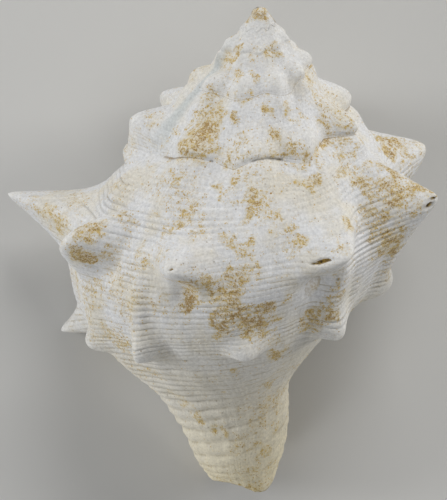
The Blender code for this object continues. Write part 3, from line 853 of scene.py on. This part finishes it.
def make_camera():
    place, right, up, back = camera_frame()
    lens = bpy.data.cameras.new("camera")
    lens.lens = CAMERA_LENS
    lens.sensor_width = SENSOR_WIDTH
    lens.clip_start = 0.01
    lens.clip_end = 10
    turned = Matrix(np.column_stack([right, up, back]).tolist()).to_4x4()
    turned.translation = Vector(place)
    camera = add_object("camera", lens)
    camera.matrix_world = turned
    bpy.context.scene.camera = camera


class Graph:
    """Short calls for the nodes of one material; each returns an output socket."""

    def __init__(self, name):
        self.material = bpy.data.materials.new(name)
        self.material.use_nodes = True
        self.tree = self.material.node_tree

    def plug(self, socket, value):
        if isinstance(value, bpy.types.NodeSocket):
            self.tree.links.new(value, socket)
        elif hasattr(socket.default_value, "__len__"):
            socket.default_value = tuple(value) + (1,) * (len(socket.default_value) - len(value))
        else:
            socket.default_value = value

    def node(self, kind, values=(), **settings):
        """A new node, its settings, and the values of its sockets by name or number."""
        node = self.tree.nodes.new("ShaderNode" + kind)
        for name, value in settings.items():
            setattr(node, name, value)
        for key, value in dict(values).items():
            self.plug(node.inputs[key], value)
        return node

    def math(self, operation, first, second=0):
        return self.node("Math", {0: first, 1: second}, operation=operation).outputs[0]

    def vector(self, operation, first, second):
        return self.node("VectorMath", {0: first, 1: second}, operation=operation).outputs[0]

    def times(self, first, *others):
        for other in others:
            first = self.math("MULTIPLY", first, other)
        return first

    def plus(self, first, *others):
        for other in others:
            first = self.math("ADD", first, other)
        return first

    def minus(self, first, second):
        return self.math("SUBTRACT", first, second)

    def swing(self, value, reach):
        """A noise turned into a value that swings about 0."""
        return self.times(self.minus(value, 0.5), reach)

    def noise(self, vector, scale, detail=2, roughness=0.5, distortion=0):
        values = {"Vector": vector, "Scale": scale, "Detail": detail, "Roughness": roughness}
        return self.node("TexNoise", {**values, "Distortion": distortion}).outputs["Fac"]

    def cells(self, vector, scale):
        """Distance to the nearest cell's middle and a random value of that cell."""
        node = self.node("TexVoronoi", {"Vector": vector, "Scale": scale})
        parts = self.node("SeparateColor", {0: node.outputs["Color"]})
        return node.outputs["Distance"], parts.outputs[0]

    def stirred(self, vector, scale, reach):
        """The vector moved about by noise, so that what is drawn on it has ragged edges."""
        node = self.node("TexNoise", {"Vector": vector, "Scale": scale, "Detail": 2})
        centred = self.vector("SUBTRACT", node.outputs["Color"], (0.5,) * 3)
        return self.vector("ADD", vector, self.vector("MULTIPLY", centred, (reach,) * 3))

    def ramp(self, value, low, high, at_low=0, at_high=1):
        values = {"Value": value, "From Min": low, "From Max": high, "To Min": at_low, "To Max": at_high}
        return self.node("MapRange", values, interpolation_type="SMOOTHSTEP").outputs[0]

    def mix(self, share, first, second, blend="MIX"):
        values = {0: share, 6: first, 7: second}
        return self.node("Mix", values, data_type="RGBA", blend_type=blend).outputs[2]

    def painted(self, name):
        return self.node("Attribute", attribute_name=name).outputs["Fac"]

    def finish(self, values):
        """Sets the sockets of the surface shader and gives the material."""
        for name, value in values.items():
            self.plug(self.tree.nodes["Principled BSDF"].inputs[name], value)
        return self.material


COOL_WHITE = (0.79, 0.8, 0.82)
WARM_WHITE = (0.8, 0.775, 0.715)
BASE_GREY = (0.74, 0.71, 0.63)
CANAL_CREAM = (0.83, 0.76, 0.57)
GROOVE_BROWN = (0.47, 0.41, 0.29)
OCHRE = (0.6, 0.4, 0.085)
LIGHT_OCHRE = (0.73, 0.55, 0.18)
BROWN = (0.38, 0.22, 0.05)
SUTURE_BROWN = (0.3, 0.21, 0.11)
PIT_BROWN = (0.19, 0.14, 0.075)
SEDIMENT = (0.62, 0.52, 0.36)
TIP_WHITE = (0.83, 0.83, 0.82)
BAND_SHADE_GREY = (0.6, 0.645, 0.66)
FLOOR_GREY = (0.66, 0.66, 0.65)


class ShellGraph(Graph):
    """Nodes of the worn white shell, with what they are drawn from: places, growth, noises and paint."""

    def __init__(self):
        super().__init__("chalky_shell")
        place = self.node("TexCoord").outputs["Object"]
        self.place = self.vector("MULTIPLY", place, (1 / METRES_PER_MM,) * 3)
        self.growth = self.node("UVMap", uv_map="growth").outputs[0]
        self.turn, self.cord = self.node("SeparateXYZ", {0: self.growth}).outputs[:2]
        self.slope = self.painted("slope")
        self.tip = self.painted("tip")
        self.inside = self.painted("inside")
        self.broad = self.noise(self.place, 0.16)
        self.middle = self.noise(self.place, 0.55, 3)
        self.fine = self.noise(self.place, 2.6, 4, 0.65)
        self.lines = self.along_growth(230, 0.3, 3, 0.6)
        self.threads = self.along_growth(14, 2.6, 2, 0.6)
        self.stretches = self.along_growth(26, 0, 3, 0.5)
        band = self.ramp(self.painted("band"), 0.02, 0.2, 1, 0)
        self.suture = self.times(self.ramp(self.turn, -2.9, -2.2), self.minus(1, self.inside), band)

    def along_growth(self, per_turn, per_cord, detail, roughness):
        """Noise with so many steps a turn and a cord."""
        steps = self.vector("MULTIPLY", self.growth, (per_turn, per_cord, 1))
        return self.noise(steps, 1, detail, roughness)

    def ground(self):
        """Cool and warm white in patches, greyer on the base and cream on the canal."""
        grey = self.plus(self.ramp(self.cord, 20, 46), self.swing(self.broad, 0.9))
        colour = self.mix(self.ramp(self.broad, 0.46, 0.7), COOL_WHITE, WARM_WHITE)
        colour = self.mix(grey, colour, BASE_GREY)
        colour = self.mix(self.ramp(self.cord, 42, 52), colour, CANAL_CREAM)
        return self.mix(self.ramp(self.middle, 0.48, 0.72, 0, 0.3), colour, WARM_WHITE)

    def soiled(self, colour):
        """Brown dirt and painted shade in the grooves between the cords, a painted grey shade on the slope
        beside the band, and white tips.
        """
        edge = self.math("ABSOLUTE", self.minus(self.times(self.math("FRACT", self.cord), 2), 1))
        # Brown dirt and painted shade in the grooves between the cords
        groove_dirt_and_shade = self.times(self.ramp(self.cord, 13, 20, 0.1, 0.58), self.ramp(self.middle, 0.42, 0.64, 0.12))
        groove_dirt_and_shade = self.times(self.ramp(edge, 0.66, 1), groove_dirt_and_shade, self.minus(1, self.tip))
        colour = self.mix(groove_dirt_and_shade, colour, GROOVE_BROWN)
        # Painted grey shade on the band's front slope
        colour = self.mix(self.times(self.slope, 0.8), colour, BAND_SHADE_GREY)
        return self.mix(self.times(self.tip, 0.8), colour, TIP_WHITE)

    def toned(self, colour):
        """Lighter and darker grain, growth lines and threads."""
        tone = self.plus(1, self.swing(self.fine, 0.75), self.swing(self.lines, 0.3))
        tone = self.plus(tone, self.swing(self.threads, 0.2))
        shade = self.node("CombineColor", {0: tone, 1: tone, 2: tone}).outputs[0]
        return self.mix(1, colour, shade, "MULTIPLY")

    def stain_spread(self):
        """How strongly each place is stained: the painted stains, a light sprinkle, and the sutures."""
        patchy = self.noise(self.place, 0.9, 3, 0.7, 1.2)
        stain = self.times(self.painted("stain"), self.ramp(patchy, 0.33, 0.6, 0.5, 1.4))
        sprinkle = self.ramp(self.noise(self.place, 0.11, 1), 0.5, 0.75, 0.07, 0.35)
        suture = self.times(self.ramp(self.cord, 0, 1.6, 1, 0), self.suture)
        suture = self.times(suture, self.ramp(self.stretches, 0.45, 0.7), 0.7)
        cluster = self.noise(self.place, 0.55, 3, 0.6, 0.8)
        amount = self.plus(self.math("MAXIMUM", stain, sprinkle), suture)
        return self.times(amount, self.ramp(cluster, 0.34, 0.66, 0.45, 1.8))

    def grains(self, places, chance, scale, core, edge, softness=0.1):
        """Grains in the cells whose random value is under the chance, and that random value."""
        gap, draw = self.cells(places, scale)
        chosen = self.ramp(self.minus(chance, draw), 0, softness)
        return self.times(chosen, self.ramp(gap, core, edge, 1, 0)), draw

    def stained(self, colour):
        """Granular ochre stains with light halos and brown cores; also gives their grains."""
        spread = self.stain_spread()
        clump = self.noise(self.place, 1.5, 3, 0.65, 0.6)
        chance = self.times(spread, self.ramp(clump, 0.36, 0.62, 0.1))
        chance = self.times(chance, self.ramp(self.slope, 0.2, 0.8, 1, 0.2))
        ragged = self.stirred(self.place, 4, 0.35)
        coarse, coarse_draw = self.grains(ragged, chance, 4, 0.42, 0.62)
        small, small_draw = self.grains(ragged, self.times(chance, 0.8), 6.8, 0.42, 0.66)
        specks, _ = self.grains(ragged, self.times(chance, 0.38), 3.4, 0.3, 0.46, 0.05)
        grains = self.math("MAXIMUM", coarse, self.times(small, 0.8))
        inner_halo = self.times(self.math("MINIMUM", chance, 1), 0.5)
        outer_halo = self.times(self.math("MINIMUM", spread, 1), 0.3)
        colour = self.mix(self.math("MAXIMUM", inner_halo, outer_halo), colour, LIGHT_OCHRE)
        hue = self.mix(coarse_draw, OCHRE, LIGHT_OCHRE)
        hue = self.mix(self.ramp(self.minus(spread, small_draw), 0.5, 1.6), hue, BROWN)
        colour = self.mix(self.times(grains, 0.85), colour, hue)
        return self.mix(self.times(specks, 0.85), colour, BROWN), grains

    def marked(self, colour):
        """Dark lines along the sutures and small pores; also gives the pores."""
        line = self.times(self.ramp(self.cord, 0.02, 0.12, 1, 0), self.suture)
        line = self.times(line, self.ramp(self.stretches, 0.25, 0.6, 0.45, 0.8))
        colour = self.mix(line, colour, SUTURE_BROWN)
        gap, draw = self.cells(self.place, 0.95)
        pores = self.times(self.ramp(gap, 0.07, 0.14, 1, 0), self.ramp(draw, 0.7, 0.74))
        return self.mix(self.times(pores, 0.5), colour, SUTURE_BROWN), pores

    def lined(self, colour):
        """Sediment on the inside of the shell, and dark brown in the worn holes."""
        speckle = self.ramp(self.fine, 0.42, 0.6)
        share = self.times(self.inside, self.ramp(self.middle, 0.35, 0.6, 0.35, 0.85))
        colour = self.mix(share, colour, self.mix(speckle, SEDIMENT, WARM_WHITE))
        pit = self.ramp(self.painted("pit"), 0.15, 0.7)
        return self.mix(pit, colour, self.mix(speckle, PIT_BROWN, OCHRE))

    def relief(self, grains, pores):
        """Fine bumps of the chalk, the growth lines and the stains' grains."""
        height = self.plus(self.times(self.fine, 0.55), self.times(self.lines, 0.6))
        height = self.plus(height, self.times(self.threads, 0.4), self.times(grains, 0.2))
        height = self.minus(height, self.times(pores, 0.6))
        values = {"Strength": 0.8, "Distance": 0.16 * METRES_PER_MM, "Height": height}
        return self.node("Bump", values).outputs[0]


def chalk_material():
    """Worn white shell: cream towards the canal, dirt in the grooves and sutures, granular ochre stains."""
    graph = ShellGraph()
    colour, grains = graph.stained(graph.toned(graph.soiled(graph.ground())))
    colour, pores = graph.marked(colour)
    return graph.finish({
        "Base Color": graph.lined(colour),
        "Normal": graph.relief(grains, pores),
        "Roughness": graph.ramp(graph.middle, 0.35, 0.65, 0.78, 0.92),
        "Specular IOR Level": 0.35,
    })


def floor_material():
    graph = Graph("pale_floor")
    return graph.finish({"Base Color": FLOOR_GREY, "Roughness": 0.9})


def make_floor():
    mesh = bpy.data.meshes.new("floor")
    corners = [(x * FLOOR_HALF, y * FLOOR_HALF, 0) for x, y in ((-1, -1), (1, -1), (1, 1), (-1, 1))]
    mesh.from_pydata(corners, [], [(0, 1, 2, 3)])
    mesh.materials.append(floor_material())
    add_object("floor", mesh)


def make_lights():
    for name, direction, distance, size, watts, colour in LAMPS:
        light = bpy.data.lights.new(name, "AREA")
        light.shape = "DISK"
        light.size = size
        light.energy = watts
        light.color = colour
        lamp = add_object(name, light)
        lamp.location = Vector(direction).normalized() * distance
        aim = Vector(LAMP_AIM) - lamp.location
        lamp.rotation_euler = aim.to_track_quat("-Z", "Y").to_euler()
    world = bpy.data.worlds.new("studio")
    world.use_nodes = True
    background = world.node_tree.nodes["Background"]
    background.inputs["Color"].default_value = DOME_COLOUR
    background.inputs["Strength"].default_value = DOME_STRENGTH
    bpy.context.scene.world = world


def pixel_caster(mesh):
    """A call that gives the point and normal of the mesh seen at a pixel of the photograph."""
    points = [vertex.co.copy() for vertex in mesh.vertices]
    tree = BVHTree.FromPolygons(points, [list(polygon.vertices) for polygon in mesh.polygons])
    place, right, up, back = camera_frame()

    def cast(pixel_x, pixel_y):
        across = (pixel_x - PICTURE[0] / 2) / PIXELS_PER_RADIAN
        above = (PICTURE[1] / 2 - pixel_y) / PIXELS_PER_RADIAN
        ray = Vector(right * across + up * above - back).normalized()
        point, normal, _, _ = tree.ray_cast(Vector(place), ray)
        return point, normal

    return cast


def ragged_places(places):
    """The places with a small wandering shift, which makes the edges of the stains uneven."""
    noise.seed_set(STAIN_SEED)
    spots = places / (STAIN_EDGE_SIZE * METRES_PER_MM)
    shifts = np.array([noise.noise_vector(Vector(spot)) for spot in spots])
    return places + shifts * STAIN_EDGE_SHIFT * METRES_PER_MM


def stain_values(mesh, cast, outside_count):
    """Strength of the ochre stains at each vertex, in the photograph's places and scattered elsewhere."""
    places = vertex_values(mesh, "co")
    values = np.zeros(len(places))
    spots = []
    for group in STAINS.values():
        for pixel_x, pixel_y, radius, strength in group:
            point, _ = cast(pixel_x, pixel_y)
            if point is not None:
                spots.append((np.array(point), radius * MM_PER_PIXEL, strength / 10))
    random = np.random.default_rng(STAIN_SEED)
    facing = vertex_values(mesh, "normal") @ camera_frame()[3]
    away = np.flatnonzero(facing[:outside_count] < HIDDEN_FACING)
    for vertex in random.choice(away, HIDDEN_STAINS):
        radius = random.uniform(*HIDDEN_STAIN_RADII)
        spots.append((places[vertex], radius, random.uniform(*HIDDEN_STAIN_STRENGTHS)))
    ragged = ragged_places(places)
    for centre, radius, strength in spots:
        distance = np.linalg.norm(ragged - centre, axis=1) / (radius * METRES_PER_MM)
        share = np.clip(STAIN_PEAK - STAIN_FALL * distance, 0, 1)
        values = np.maximum(values, strength * smooth(share))
    return values


def carve_pits(mesh, cast):
    """Sinks the worn holes and slits into the surface and gives their darkness at each vertex."""
    places = vertex_values(mesh, "co")
    darkness = np.zeros(len(places))
    shift = np.zeros(len(places))
    facing = np.zeros((len(places), 3))
    for first_x, first_y, second_x, second_y, half_width, depth, dark in PITS:
        first, normal = cast(first_x, first_y)
        second, _ = cast(second_x, second_y)
        first = np.array(first)
        run = np.array(second) - first
        along = np.clip((places - first) @ run / (run @ run), 0, 1)
        round_end = np.sqrt(np.maximum(1 - (2 * along - 1) ** 2, 0))
        taper = PIT_END_WIDTH + (1 - PIT_END_WIDTH) * round_end
        reach = half_width * MM_PER_PIXEL * METRES_PER_MM * taper
        share = hump(np.minimum(np.linalg.norm(places - first - along[:, None] * run, axis=1) / reach, 1))
        darkness = np.maximum(darkness, dark * np.minimum(PIT_DARKENING * share, 1))
        sunk = np.sqrt(share) * depth
        facing[sunk > shift] = np.array(normal)
        shift = np.maximum(shift, sunk)
    move_vertices(mesh, places - facing * shift[:, None] * METRES_PER_MM)
    return darkness


def make_shell():
    mesh, outside_count = shell_mesh()
    uneven(mesh)
    cast = pixel_caster(mesh)
    paint(mesh, "tip", tip_values(vertex_values(mesh, "co")))
    paint(mesh, "pit", carve_pits(mesh, cast))
    paint(mesh, "stain", stain_values(mesh, cast, outside_count))
    paint(mesh, "inside", (np.arange(len(mesh.vertices)) >= outside_count).astype(float))
    mesh.materials.append(chalk_material())
    shell = add_object("fossil_shell", mesh)
    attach(shell, "root")
    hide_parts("shell")


bpy.context.scene.view_settings.view_transform = "Standard"
make_camera()
make_shell()
make_floor()
make_lights()
